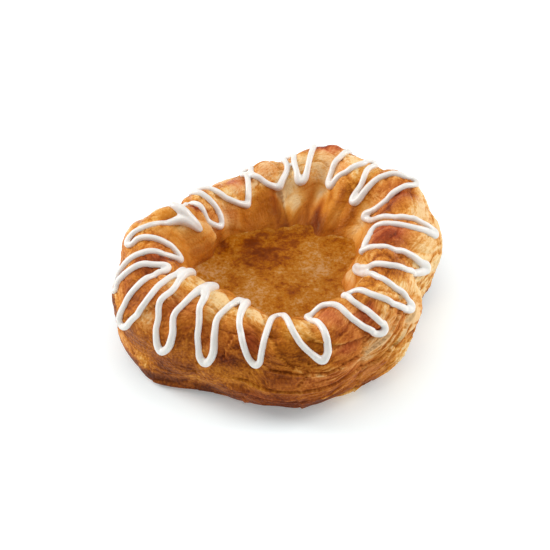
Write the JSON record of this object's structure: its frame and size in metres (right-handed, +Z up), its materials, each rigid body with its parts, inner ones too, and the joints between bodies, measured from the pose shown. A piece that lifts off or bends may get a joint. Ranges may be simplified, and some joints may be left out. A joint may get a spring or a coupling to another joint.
{
  "type": "danish pastry",
  "caption": "Round danish pastry: an uneven ring of flaky dough around a sunken well of glossy fruit filling, with a zigzag of piped white icing over the rim.",
  "frame": {"origin": "middle of the flat base, on the surface it rests on", "axes": "+Z up through the well, -Y towards the front of the pastry"},
  "size_m": [0.1097, 0.1117, 0.0388],
  "materials": {
    "crust": "baked, flaky, with a thin egg-wash sheen",
    "filling": "glossy, jelly-like",
    "icing": "smooth, set icing"
  },
  "bodies": {
    "root": {"pastry": "crust", "filling": "filling", "icing": "icing"}
  },
  "joints": []
}
